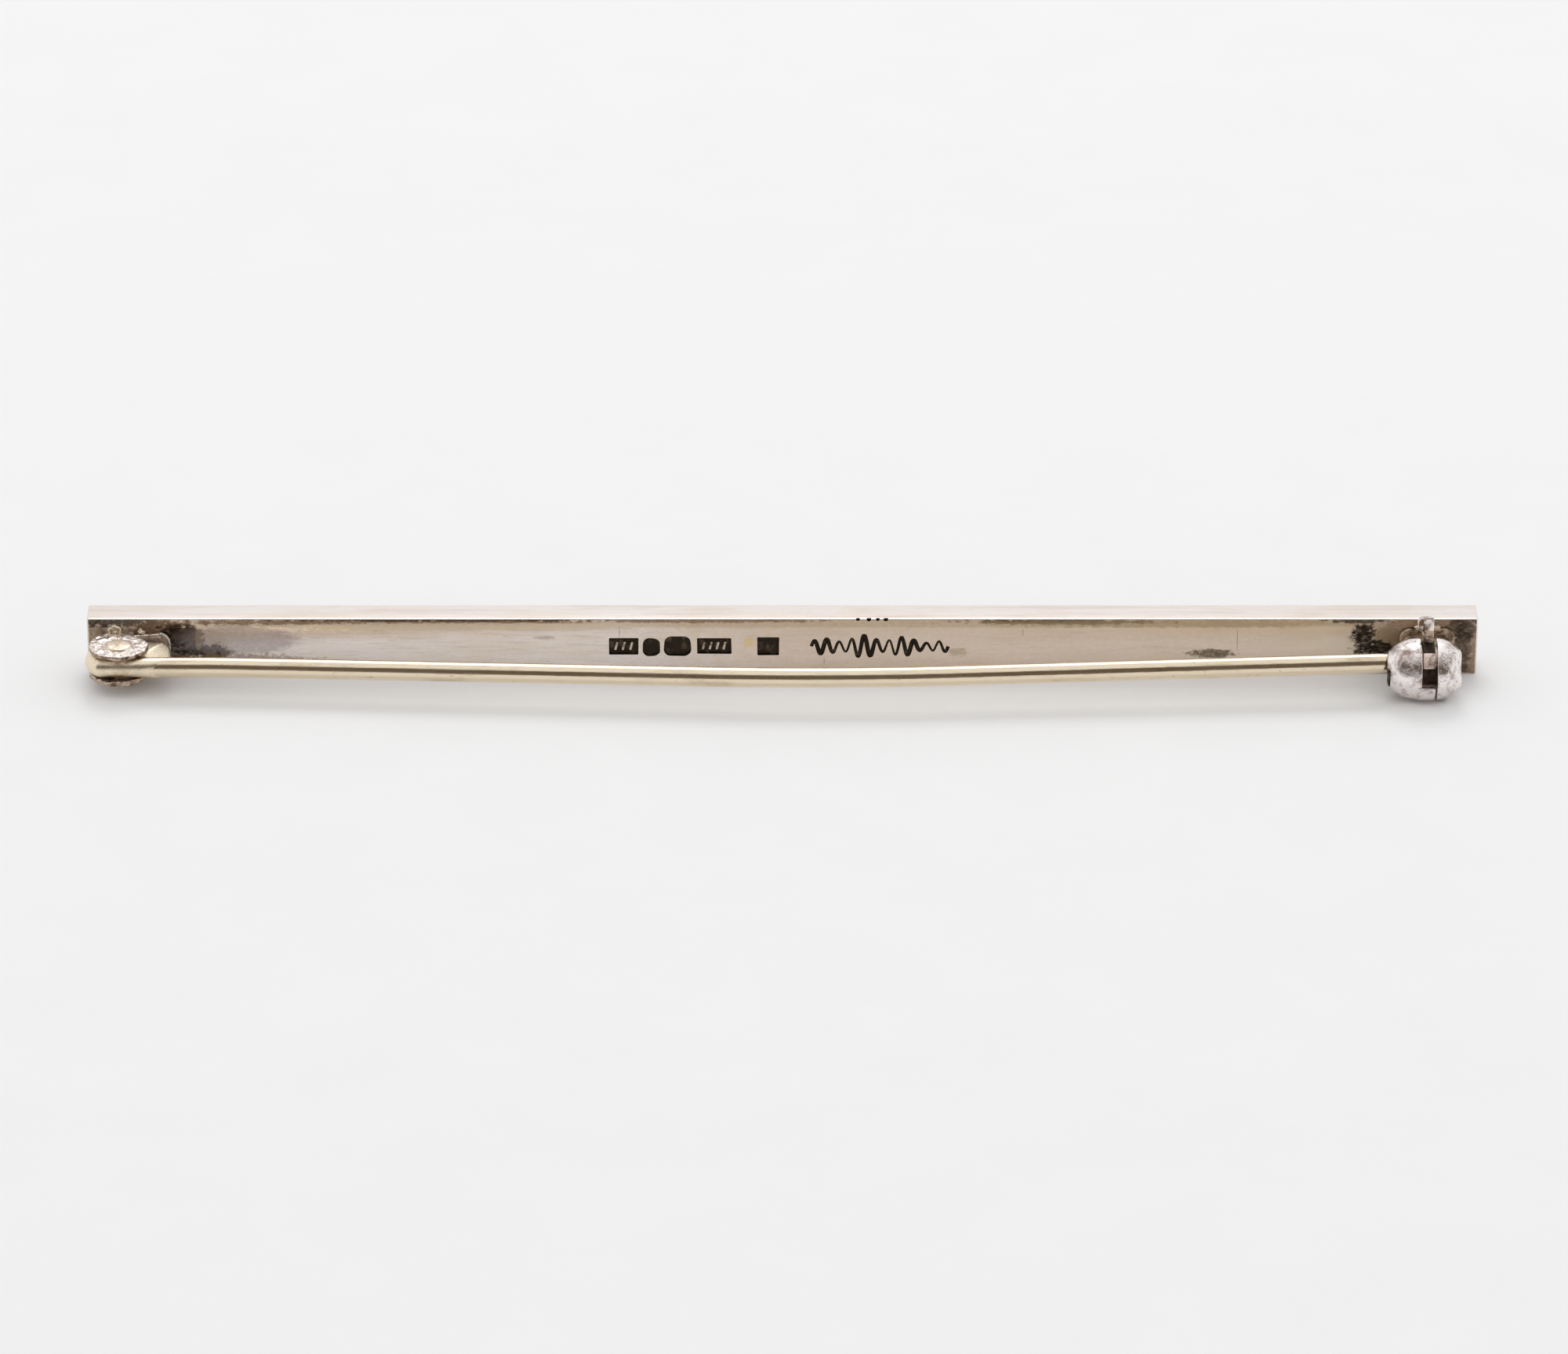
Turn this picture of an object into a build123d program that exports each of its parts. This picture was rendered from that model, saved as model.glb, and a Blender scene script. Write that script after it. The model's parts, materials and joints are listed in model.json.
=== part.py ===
"""A straight bar pin: a flat silver bar with a hinged wire pin and a ball safety catch on its back.

X runs along the bar from the hinge to the catch, and Z is up. The bar stands on one long edge at Z = 0,
with the origin at the middle of that edge. Its back, with the fittings, faces -Y. Sizes are in millimetres.
"""

import math
import os

from build123d import *

# bar
bar_length = 70.0
bar_depth = 1.7
bar_height = 3.05
bar_edge_round = 0.06
back_y = -bar_depth / 2

# hinge: two round ears on a small base plate, with a rivet through both and through the pin's eye
rivet_x = -33.5
rivet_reach = 1.75
rivet_y = back_y - rivet_reach
rivet_radius = 0.4
rivet_clearance = 0.05
rivet_head_radius = 0.64
rivet_head_height = 0.1
rivet_head_taper = 25.0
ear_radius = 1.44
ear_centre_reach = 1.3
ear_root_half_width = 0.85
ear_thickness = 0.25
upper_ear_top = 2.36
lower_ear_bottom = 0.7
ear_rim_round = 0.08
hinge_base_thickness = 0.2
hinge_base_left = -0.85
hinge_base_step = 0.92
hinge_base_right = 2.65
hinge_base_top = 2.3
hinge_base_bottom = 0.76
hinge_base_corner = 0.6
large_bead_radius = 0.45
large_bead_x = rivet_x - 0.12
small_bead_radius = 0.18
small_bead_x = rivet_x + 1.25

# pin: round wire, bowed away from the bar, with a flattened eye at one end and a ground point at the other
wire_radius = 0.5
eye_height = 1.0
eye_radius = 1.48
eye_rim_round = 0.22
eye_corner_round = 0.5
eye_z = (upper_ear_top - ear_thickness + lower_ear_bottom + ear_thickness) / 2
wire_offset_at_eye = 0.75
eye_tail_x = 2.27
eye_tail_y = 0.72
eye_tail_radius = 0.35
wire_rise = 0.0047
straight_start_x = 5.0
straight_start_reach = 2.52
bow_x = 36.0
bow_reach = 4.28
point_start_x = 63.75
point_end_x = 66.65
point_end_reach = 2.47
point_tip_radius = 0.06
start_bend_radius = 60.0
bow_bend_radius = 110.0

# catch: a hollow ball in two shells around a slotted barrel, which a thumb tab turns
ball_x = 32.1
ball_reach = 2.82
ball_y = back_y - ball_reach
ball_z = 1.58
ball_radius = 1.58
ball_half_length = 1.875
ball_belly_half_length = 1.05
ball_belly_radius = 3.0
ball_end_radius = 0.75
ball_end_round = 0.2
barrel_radius = 1.12
barrel_bore = 0.9
barrel_half_length = 1.12
barrel_clearance = 0.04
shell_bore = barrel_radius + barrel_clearance
entry_radius = 0.62
shell_mouth_width = 1.45
shell_mouth_offset = 0.1
barrel_mouth = 1.08
ring_gap_left = ball_x - 0.08
ring_gap_right = ball_x + 0.6
ring_radius = 1.45
ring_clearance = 0.03
tab_angle = 95.0
tab_thickness = 0.26
tab_top = 2.92
tab_corner = 0.11
tab_leaf_left = ball_x - 0.43
tab_leaf_width = 0.24
tab_leaf_bottom = 2.15
tab_bridge_height = 0.22
foot_thickness = 0.25
foot_x = ball_x + 0.35
foot_width = 2.8
foot_height = 2.0
foot_corner = 0.5
post_width = 2.2
post_height = 1.2
post_corner = 0.3
foot_solder_radius = 0.22
catch_axis = Axis((ball_x, ball_y, ball_z), (1, 0, 0))


def level(height, x=0.0, y=0.0):
    """A horizontal plane at a height, with its origin at x, y."""
    return Plane(origin=(x, y, height), x_dir=(1, 0, 0), z_dir=(0, 0, 1))


def facing_back(reach, x=0.0, z=0.0):
    """A plane parallel to the bar's back, at a reach out of it: local X is +X, local Y is up, normal to -Y."""
    return Plane(origin=(x, back_y - reach, z), x_dir=(1, 0, 0), z_dir=(0, -1, 0))


def across(x):
    """A plane across the catch's axis at x: local X is +Y, local Y is up, normal to +X."""
    return Plane(origin=(x, ball_y, ball_z), x_dir=(0, 1, 0), z_dir=(1, 0, 0))


# ---- bar

with BuildPart() as bar:
    with BuildSketch(level(0)):
        Rectangle(bar_length, bar_depth)
    extrude(amount=bar_height)
    fillet(bar.edges(), radius=bar_edge_round)

# ---- hinge


def ear_outline():
    """One ear seen from above, with its origin on the rivet's axis: a disc with a straight root on the bar."""
    with Locations((0, rivet_reach - ear_centre_reach)):
        Circle(ear_radius)
    with Locations((0, rivet_reach - ear_centre_reach / 2)):
        Rectangle(2 * ear_root_half_width, ear_centre_reach)
    with Locations((0, rivet_reach + ear_radius)):
        Rectangle(4 * ear_radius, 2 * ear_radius, mode=Mode.SUBTRACT)
    Circle(rivet_radius, mode=Mode.SUBTRACT)


with BuildPart() as upper_ear:
    with BuildSketch(level(upper_ear_top - ear_thickness, rivet_x, rivet_y)):
        ear_outline()
    extrude(amount=ear_thickness)
    upper_rim = upper_ear.edges().filter_by(GeomType.CIRCLE).filter_by(lambda e: e.radius > 1)
    fillet(upper_rim, radius=ear_rim_round)

with BuildPart() as lower_ear:
    with BuildSketch(level(lower_ear_bottom, rivet_x, rivet_y)):
        ear_outline()
    extrude(amount=ear_thickness)
    lower_rim = lower_ear.edges().filter_by(GeomType.CIRCLE).filter_by(lambda e: e.radius > 1)
    fillet(lower_rim, radius=ear_rim_round)

with BuildPart() as hinge_rivet:
    with BuildSketch(level(lower_ear_bottom, rivet_x, rivet_y)):
        Circle(rivet_radius)
    extrude(amount=upper_ear_top - lower_ear_bottom)
    with BuildSketch(level(upper_ear_top, rivet_x, rivet_y)):
        Circle(rivet_head_radius)
    extrude(amount=rivet_head_height, taper=rivet_head_taper)
    with BuildSketch(level(lower_ear_bottom, rivet_x, rivet_y)):
        Circle(rivet_head_radius)
    extrude(amount=-rivet_head_height, taper=rivet_head_taper)

# The base plate stands between the ears, and steps out to its full height beside them.
with BuildPart() as hinge_base:
    between_top = upper_ear_top - ear_thickness
    between_bottom = lower_ear_bottom + ear_thickness
    with BuildSketch(facing_back(0, rivet_x)) as base_outline:
        with Locations(((hinge_base_left + hinge_base_step) / 2, (between_top + between_bottom) / 2)):
            Rectangle(hinge_base_step - hinge_base_left, between_top - between_bottom)
        with Locations(((hinge_base_step + hinge_base_right) / 2, (hinge_base_top + hinge_base_bottom) / 2)):
            Rectangle(hinge_base_right - hinge_base_step, hinge_base_top - hinge_base_bottom)
        fillet(base_outline.vertices().group_by(Axis.X)[-1], radius=hinge_base_corner)
    extrude(amount=hinge_base_thickness)

# Two beads of solder: one in the corner above the upper ear, one on top of the base plate.
with BuildPart() as hinge_solder:
    with Locations((large_bead_x, back_y, upper_ear_top)):
        Sphere(large_bead_radius)
    split(bisect_by=level(upper_ear_top), keep=Keep.TOP)
    with Locations((small_bead_x, back_y, hinge_base_top + small_bead_radius / 2)):
        Sphere(small_bead_radius)
    split(bisect_by=level(hinge_base_top), keep=Keep.TOP)
    split(bisect_by=facing_back(0), keep=Keep.TOP)

# ---- pin

tilt = math.atan(wire_rise)
wire_plane = Plane(
    origin=(rivet_x, back_y, eye_z),
    x_dir=(math.cos(tilt), 0, math.sin(tilt)),
    z_dir=(-math.sin(tilt), 0, math.cos(tilt)),
)

# The eye is a flat teardrop around the rivet: the wire's end comes round and closes against its own side.
with BuildPart() as pin_stem:
    eye_front = wire_offset_at_eye + wire_radius
    with BuildSketch(level(eye_z - eye_height / 2, rivet_x, rivet_y)) as eye_outline:
        Circle(eye_radius)
        with Locations((eye_tail_x, eye_tail_y), (eye_tail_x, -wire_offset_at_eye)):
            Circle(eye_tail_radius)
        make_hull()
        with Locations((0, -eye_front - eye_radius)):
            Rectangle(4 * eye_radius, 2 * eye_radius, mode=Mode.SUBTRACT)
        fillet(eye_outline.vertices().group_by(Axis.Y)[0].sort_by(Axis.X)[0], radius=eye_corner_round)
    extrude(amount=eye_height)
    fillet(pin_stem.faces().filter_by(Axis.Z).edges(), radius=eye_rim_round)
    with BuildLine(wire_plane) as wire_route:
        route_points = [
            (0, -(rivet_reach + wire_offset_at_eye)),
            (straight_start_x, -straight_start_reach),
            (bow_x, -bow_reach),
            (point_end_x, -point_end_reach),
        ]
        FilletPolyline(*route_points, radius=[start_bend_radius, bow_bend_radius])
        wire_end = wire_route.line @ 1
        wire_heading = wire_route.line % 1
    point_length = (point_end_x - point_start_x) / wire_heading.X
    with BuildSketch(Plane(wire_route.line @ 0, z_dir=wire_route.line % 0)):
        Circle(wire_radius)
    sweep(path=wire_route.line)
    split(bisect_by=Plane(wire_end - wire_heading * point_length, z_dir=wire_heading), keep=Keep.BOTTOM)
    with BuildSketch(Plane(wire_end - wire_heading * point_length, z_dir=wire_heading)):
        Circle(wire_radius)
    with BuildSketch(Plane(wire_end, z_dir=wire_heading)):
        Circle(point_tip_radius)
    loft()
    with Locations(level(eye_z, rivet_x, rivet_y)):
        Cylinder(rivet_radius + rivet_clearance, 2 * eye_height, mode=Mode.SUBTRACT)

# ---- catch


ball_left = ball_x - ball_half_length
barrel_end_left = ball_x - barrel_half_length - barrel_clearance
barrel_end_right = ball_x + barrel_half_length + barrel_clearance

# The whole ball as one solid: both shells are cut from it, and the post is cut away by it.
with BuildPart() as whole_ball:
    belly_drop = ball_belly_radius - math.sqrt(ball_belly_radius**2 - ball_belly_half_length**2)
    belly_end_radius = ball_radius - belly_drop
    with BuildSketch(Plane(origin=(ball_x, ball_y, ball_z), x_dir=(1, 0, 0), z_dir=(0, -1, 0))):
        with BuildLine():
            belly = ThreePointArc(
                (-ball_belly_half_length, belly_end_radius),
                (0, ball_radius),
                (ball_belly_half_length, belly_end_radius),
            )
            shoulder = TangentArc(
                (ball_belly_half_length, belly_end_radius),
                (ball_half_length, ball_end_radius),
                tangent=belly % 1,
            )
            mirror(shoulder, about=Plane.YZ)
            Polyline(
                (ball_half_length, ball_end_radius),
                (ball_half_length, 0),
                (-ball_half_length, 0),
                (-ball_half_length, ball_end_radius),
            )
        make_face()
    revolve(axis=catch_axis)
    end_rims = whole_ball.edges().group_by(Axis.X)[0] + whole_ball.edges().group_by(Axis.X)[-1]
    fillet(end_rims, radius=ball_end_round)

with BuildPart() as ball_shell_left:
    add(whole_ball.part)
    split(bisect_by=Plane(origin=(ring_gap_left, 0, 0), z_dir=(1, 0, 0)), keep=Keep.BOTTOM)
    with BuildSketch(across(barrel_end_left)):
        Circle(shell_bore)
    extrude(amount=2 * ball_half_length, mode=Mode.SUBTRACT)
    pin_here = (wire_end - wire_heading * (wire_end.X - ball_left)) - Vector(ball_left, ball_y, ball_z)
    with BuildSketch(across(ball_left)):
        with Locations((pin_here.Y, pin_here.Z)):
            Circle(entry_radius)
        with Locations((shell_mouth_offset, -ball_radius)):
            Rectangle(shell_mouth_width, 2 * ball_radius)
    extrude(amount=2 * ball_half_length, mode=Mode.SUBTRACT)

with BuildPart() as ball_shell_right:
    add(whole_ball.part)
    split(bisect_by=Plane(origin=(ring_gap_right, 0, 0), z_dir=(1, 0, 0)), keep=Keep.TOP)
    with BuildSketch(across(ring_gap_right)):
        Circle(shell_bore)
        with Locations((shell_mouth_offset, -ball_radius)):
            Rectangle(shell_mouth_width, 2 * ball_radius)
    extrude(amount=barrel_end_right - ring_gap_right, mode=Mode.SUBTRACT)

with BuildPart() as catch_base:
    with BuildSketch(facing_back(0, foot_x, ball_z)):
        RectangleRounded(foot_width, foot_height, foot_corner)
    extrude(amount=foot_thickness)
    with BuildSketch(facing_back(foot_thickness, foot_x, ball_z)):
        RectangleRounded(post_width, post_height, post_corner)
    extrude(amount=ball_reach - foot_thickness)
    add(whole_ball.part, mode=Mode.SUBTRACT)

# A run of solder along the top of the foot.
with BuildPart() as catch_solder:
    foot_top = ball_z + foot_height / 2
    solder_plane = Plane(origin=(foot_x - foot_width / 4, back_y, foot_top), x_dir=(0, 1, 0), z_dir=(1, 0, 0))
    with BuildSketch(solder_plane):
        Circle(foot_solder_radius)
    extrude(amount=foot_width / 2)
    split(bisect_by=facing_back(0), keep=Keep.TOP)
    split(bisect_by=level(foot_top), keep=Keep.TOP)

with BuildPart() as rotor_barrel:
    with BuildSketch(across(ball_x - barrel_half_length)):
        Circle(barrel_radius)
        Circle(barrel_bore, mode=Mode.SUBTRACT)
        with Locations((-barrel_radius, 0)):
            Rectangle(2 * barrel_radius, barrel_mouth, mode=Mode.SUBTRACT)
    extrude(amount=2 * barrel_half_length)

with BuildPart() as rotor_ring:
    with BuildSketch(across(ring_gap_left + ring_clearance)):
        Circle(ring_radius)
        Circle(barrel_radius, mode=Mode.SUBTRACT)
        with Locations((-ring_radius, 0)):
            Rectangle(2 * ring_radius, barrel_mouth, mode=Mode.SUBTRACT)
    extrude(amount=ring_gap_right - ring_gap_left - 2 * ring_clearance)

# The thumb tab is a strip that stands up from the ring and folds over towards the hinge.
tab_turn = math.radians(tab_angle)
tab_radial = Vector(0, -math.cos(tab_turn), math.sin(tab_turn))
tab_plane = Plane(origin=(ball_x, ball_y, ball_z), x_dir=(1, 0, 0), z_dir=Vector(1, 0, 0).cross(tab_radial))

with BuildPart() as thumb_tab:
    leg_left = ring_gap_left + ring_clearance - ball_x
    leg_right = ring_gap_right - ring_clearance - ball_x
    leaf_left = tab_leaf_left - ball_x
    with BuildSketch(tab_plane) as tab_outline:
        with Locations(((leg_left + leg_right) / 2, tab_top / 2)):
            Rectangle(leg_right - leg_left, tab_top)
        with Locations((leaf_left + tab_leaf_width / 2, (tab_top + tab_leaf_bottom) / 2)):
            Rectangle(tab_leaf_width, tab_top - tab_leaf_bottom)
        with Locations(((leaf_left + leg_right) / 2, tab_top - tab_bridge_height / 2)):
            Rectangle(leg_right - leaf_left, tab_bridge_height)
        fillet(tab_outline.vertices().group_by(SortBy.DISTANCE)[-2:], radius=tab_corner)
    extrude(amount=tab_thickness / 2, both=True)
    with BuildSketch(across(ball_left)):
        Circle(ring_radius)
    extrude(amount=2 * ball_half_length, mode=Mode.SUBTRACT)

pieces = {
    "bar": bar,
    "hinge_base": hinge_base,
    "upper_ear": upper_ear,
    "lower_ear": lower_ear,
    "hinge_rivet": hinge_rivet,
    "hinge_solder": hinge_solder,
    "pin_stem": pin_stem,
    "catch_base": catch_base,
    "catch_solder": catch_solder,
    "ball_shell_left": ball_shell_left,
    "ball_shell_right": ball_shell_right,
    "rotor_barrel": rotor_barrel,
    "rotor_ring": rotor_ring,
    "thumb_tab": thumb_tab,
}
os.makedirs("parts", exist_ok=True)
for name, piece in pieces.items():
    piece.part.label = name
    export_step(piece.part, f"parts/{name}.step")
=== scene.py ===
"""The looks of the bar pin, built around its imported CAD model.

Each visible piece is a finer mesh than the CAD node it stands for, with its own procedural metal. Meshes are
made in millimetres in the row frame: X runs along the bar from the hinge to the catch, -Y points out of the
bar's back, where the pin is, and Z is up. They are scaled to metres when they are finished.
"""

import json
import math

import bmesh
import bpy
from mathutils import Matrix, Vector, noise
from mathutils.geometry import convex_hull_2d


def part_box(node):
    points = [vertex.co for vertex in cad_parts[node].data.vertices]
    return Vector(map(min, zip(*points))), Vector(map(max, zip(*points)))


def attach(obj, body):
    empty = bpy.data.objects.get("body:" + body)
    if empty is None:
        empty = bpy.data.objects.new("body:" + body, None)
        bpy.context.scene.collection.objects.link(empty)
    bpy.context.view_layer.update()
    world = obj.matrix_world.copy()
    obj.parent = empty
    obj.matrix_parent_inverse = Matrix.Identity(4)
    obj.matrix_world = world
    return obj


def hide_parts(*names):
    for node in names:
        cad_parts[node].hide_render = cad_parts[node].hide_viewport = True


MM = 0.001
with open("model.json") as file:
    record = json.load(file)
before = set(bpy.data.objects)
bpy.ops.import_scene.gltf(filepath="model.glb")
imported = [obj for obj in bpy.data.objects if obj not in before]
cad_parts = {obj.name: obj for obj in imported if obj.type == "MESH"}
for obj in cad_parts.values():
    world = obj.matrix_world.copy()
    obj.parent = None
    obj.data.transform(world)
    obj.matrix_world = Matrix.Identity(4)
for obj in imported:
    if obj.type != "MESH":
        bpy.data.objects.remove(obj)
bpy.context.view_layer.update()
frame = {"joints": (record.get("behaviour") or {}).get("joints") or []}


def box_mm(node):
    """A CAD node's lowest and highest corners, in millimetres."""
    low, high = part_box(node)
    return low / MM, high / MM


def joint_mm(name):
    """The point that a joint turns about, in millimetres."""
    joint = next(j for j in frame["joints"] if j["name"] == name)
    return Vector(joint["pos_m"]) / MM


rivet = joint_mm("pin_swing")
catch = joint_mm("rotor_turn")
bar_low, bar_high = box_mm("bar")
back = bar_low.y
bar_middle_z = (bar_low.z + bar_high.z) / 2


# ---- mesh helpers


def skin(rings, place=Matrix(), closed=False):
    """A mesh through rings of points. Its ends are capped, or the last ring joins the first if closed."""
    bm = bmesh.new()
    rows = [[bm.verts.new(place @ point) for point in ring] for ring in rings]
    count = len(rows[0])
    following = rows[1:] + (rows[:1] if closed else [])
    for near, far in zip(rows, following):
        for i in range(count):
            j = (i + 1) % count
            bm.faces.new((near[i], near[j], far[j], far[i]))
    if not closed:
        bm.faces.new(rows[0][::-1])
        bm.faces.new(rows[-1])
    bmesh.ops.recalc_face_normals(bm, faces=bm.faces)
    return bm


def at(x, y, z):
    """A place for a piece. A plate lies flat there, with its thickness along Z."""
    return Matrix.Translation((x, y, z))


def on_back(x, z):
    """A place on the bar's back. A plate lies against it, with its thickness out along -Y."""
    return Matrix.Translation((x, back, z)) @ Matrix.Rotation(math.radians(90), 4, "X")


def inset(outline, distances):
    """The outline moved in along its own normals, by a distance for each of its points."""
    count = len(outline)
    moved = []
    for i, (point, distance) in enumerate(zip(outline, distances)):
        along = (outline[(i + 1) % count] - outline[i - 1]).normalized()
        moved.append(point + Vector((-along.y, along.x)) * distance)
    return moved


def plate(outline, bottom, top, edge, hole=0.0, rings=8, edge_steps=5):
    """Rings over a plate with rounded edges. The outline runs anticlockwise round the origin.

    The edge's radius is one number, or a function of the outline's point.
    """
    radii = [edge(point) if callable(edge) else edge for point in outline]
    centre = [point.normalized() * max(hole, 0.02) for point in outline]

    def ring(share, inward, heights):
        rim = inset(outline, [radius * inward for radius in radii])
        return [Vector((*c.lerp(r, share), h)) for c, r, h in zip(centre, rim, heights)]

    flat = len(outline)
    rows = [ring(k / rings, 1, [bottom] * flat) for k in range(rings)]
    for side, level in ((-1, bottom), (1, top)):
        for k in range(edge_steps + 1):
            angle = math.radians(90 * (1 - k / edge_steps if side < 0 else k / edge_steps))
            heights = [level - side * radius * (1 - math.sin(angle)) for radius in radii]
            rows.append(ring(1, 1 - math.cos(angle), heights))
    rows += [ring(k / rings, 1, [top] * flat) for k in reversed(range(rings))]
    return rows


def circle_points(radius, count):
    """Points round a circle, anticlockwise."""
    turns = [2 * math.pi * i / count for i in range(count)]
    return [Vector((radius * math.cos(t), radius * math.sin(t))) for t in turns]


def rounded_box(width, height, corner, count=96):
    """An anticlockwise rectangle outline with round corners, centred on the origin."""
    points = []
    for i in range(count):
        turn = 2 * math.pi * (i + 0.5) / count
        x, y = math.cos(turn), math.sin(turn)
        points.append(Vector((
            math.copysign(width / 2 - corner, x) + corner * x,
            math.copysign(height / 2 - corner, y) + corner * y,
        )))
    return points


def dents(bm, spacing, depth, seed, direction):
    """Hammer marks: shallow hollows a given spacing apart, seen from the direction given."""
    offset = Vector((seed, 2.3 * seed, -1.7 * seed))
    for vertex in bm.verts:
        distances, _ = noise.voronoi(vertex.co / spacing + offset)
        vertex.co += direction * (distances[0] - 0.5) * depth


def lumps(bm, size, height, seed):
    """Soft unevenness of solder and cast metal."""
    offset = Vector((3.1 * seed, seed, -2.2 * seed))
    bm.normal_update()
    moves = [(v, v.normal * noise.noise(v.co / size + offset) * height) for v in bm.verts]
    for vertex, move in moves:
        vertex.co += move


def block(low, high):
    """A plain box."""
    bm = bmesh.new()
    middle = (Vector(low) + Vector(high)) / 2
    size = Vector(high) - Vector(low)
    bmesh.ops.create_cube(bm, size=1, matrix=Matrix.Translation(middle) @ Matrix.Diagonal((*size, 1)))
    return bm


def as_object(name, bm, *materials):
    """A mesh object in millimetres from a bmesh."""
    mesh = bpy.data.meshes.new(name)
    bm.to_mesh(mesh)
    bm.free()
    made = bpy.data.objects.new(name, mesh)
    for material in materials:
        mesh.materials.append(material)
    bpy.context.scene.collection.objects.link(made)
    return made


def carve(target, cutters):
    """Cuts the cutters out of the target one after another. Cut faces keep the cutter's own material."""
    for cutter in cutters:
        cut = target.modifiers.new("cut", "BOOLEAN")
        cut.operation = "DIFFERENCE"
        cut.solver = "EXACT"
        cut.use_self = True
        cut.material_mode = "TRANSFER"
        cut.object = cutter
    graph = bpy.context.evaluated_depsgraph_get()
    result = bpy.data.meshes.new_from_object(target.evaluated_get(graph))
    target.modifiers.clear()
    target.data = result
    for cutter in cutters:
        bpy.data.objects.remove(cutter)


def complete(made, body, slot, *nodes, sharp=38):
    """Scales a piece to metres, smooths it, ties it to its CAD body and hides the CAD nodes it stands for.
    The slot is not used.
    """
    mesh = made.data
    mesh.transform(Matrix.Scale(MM, 4))
    mesh.shade_smooth()
    mesh.set_sharp_from_angle(angle=math.radians(sharp))
    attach(made, body)
    if nodes:
        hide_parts(*nodes)


# ---- materials


class Nodes:
    """Short ways to add shader nodes to a tree."""

    def __init__(self, tree):
        self.tree = tree

    def add(self, kind, inputs, output=0, **settings):
        """A node with its inputs set or linked, by name or number. Gives one of its outputs."""
        node = self.tree.nodes.new(kind)
        for name, value in settings.items():
            setattr(node, name, value)
        for name, value in inputs.items():
            if isinstance(value, bpy.types.NodeSocket):
                self.tree.links.new(value, node.inputs[name])
            else:
                node.inputs[name].default_value = value
        return node.outputs[output]

    def vector(self, operation, first, second):
        return self.add("ShaderNodeVectorMath", {0: first, 1: second}, operation=operation)

    def length(self, vector):
        return self.add("ShaderNodeVectorMath", {0: vector}, 1, operation="LENGTH")

    def math(self, operation, first, second):
        return self.add("ShaderNodeMath", {0: first, 1: second}, operation=operation)

    def product(self, first, *others):
        """All the values multiplied together."""
        for other in others:
            first = self.math("MULTIPLY", first, other)
        return first

    def ramp(self, value, low, high, to_low=0.0, to_high=1.0):
        """Maps low..high smoothly to to_low..to_high, and holds it beyond."""
        inputs = {"Value": value, "From Min": low, "From Max": high, "To Min": to_low, "To Max": to_high}
        return self.add("ShaderNodeMapRange", inputs, interpolation_type="SMOOTHSTEP")

    def mix(self, share, first, second):
        """Mixes two colours."""
        inputs = {"Factor": share, 6: first, 7: second}
        return self.add("ShaderNodeMix", inputs, 2, data_type="RGBA")


class Metal(Nodes):
    """A material, metal by default. Its patterns are placed in millimetres."""

    def __init__(self, name, metallic=1.0):
        self.material = bpy.data.materials.new(name)
        self.material.use_nodes = True
        super().__init__(self.material.node_tree)
        self.shader = self.tree.nodes["Principled BSDF"]
        self.shader.inputs["Metallic"].default_value = metallic
        place = self.add("ShaderNodeTexCoord", {}, "Object")
        self.place = self.vector("MULTIPLY", place, (1 / MM, 1 / MM, 1 / MM))

    def noise(self, scale, detail=4.0, rough=0.6, stretch=(1, 1, 1)):
        """Noise with so many features to the millimetre, squeezed along each axis by stretch."""
        scaled = self.vector("MULTIPLY", self.place, stretch)
        inputs = {"Vector": scaled, "Scale": scale, "Detail": detail, "Roughness": rough}
        return self.add("ShaderNodeTexNoise", inputs)

    def patch(self, centre, half_size, ragged):
        """1 inside an ellipse in X and Z, 0 outside it. The rim is moved in and out by the ragged input."""
        away = self.vector("SUBTRACT", self.place, (centre[0], 0, centre[1]))
        scaled = self.vector("MULTIPLY", away, (1 / half_size[0], 0, 1 / half_size[1]))
        return self.ramp(self.math("ADD", self.length(scaled), ragged), 0.75, 1.15, 1.0, 0.0)

    def cracks(self, scale, width):
        """1 along thin winding lines, 0 elsewhere."""
        winding = self.noise(scale, 3.0)
        off_line = self.add("ShaderNodeMath", {0: self.math("SUBTRACT", winding, 0.5)}, operation="ABSOLUTE")
        return self.ramp(off_line, 0.0, width, 1.0, 0.0)

    def finish(self, colour, roughness, height=None, depth=0.0):
        """Links colour, roughness and bump, with the bump's depth in millimetres."""
        self.tree.links.new(colour, self.shader.inputs["Base Color"])
        self.tree.links.new(roughness, self.shader.inputs["Roughness"])
        if height is not None:
            inputs = {"Height": height, "Distance": depth * MM, "Strength": 1.0}
            bump = self.add("ShaderNodeBump", inputs)
            self.tree.links.new(bump, self.shader.inputs["Normal"])
        return self.material


def rgb(red, green, blue):
    return (red, green, blue, 1.0)


# which output of Separate XYZ
ACROSS, UP = 1, 2

SILVER = rgb(0.86, 0.79, 0.755)
WARM_SILVER = rgb(0.76, 0.65, 0.53)
DULL_SILVER = rgb(0.72, 0.58, 0.45)
# a near-white colour for the painted highlight along the back's top edge
EDGE_HIGHLIGHT_SILVER = rgb(1.0, 0.97, 0.93)
PINK_SILVER = rgb(0.70, 0.54, 0.49)
TAN = rgb(0.42, 0.33, 0.21)
BROWN = rgb(0.27, 0.18, 0.115)
BRUSHED_BROWN = rgb(0.50, 0.42, 0.37)
BLACK_BROWN = rgb(0.024, 0.016, 0.012)
PURPLE_GREY = rgb(0.33, 0.28, 0.29)
OLIVE = rgb(0.18, 0.14, 0.085)
YELLOW = rgb(0.80, 0.60, 0.27)

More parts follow.
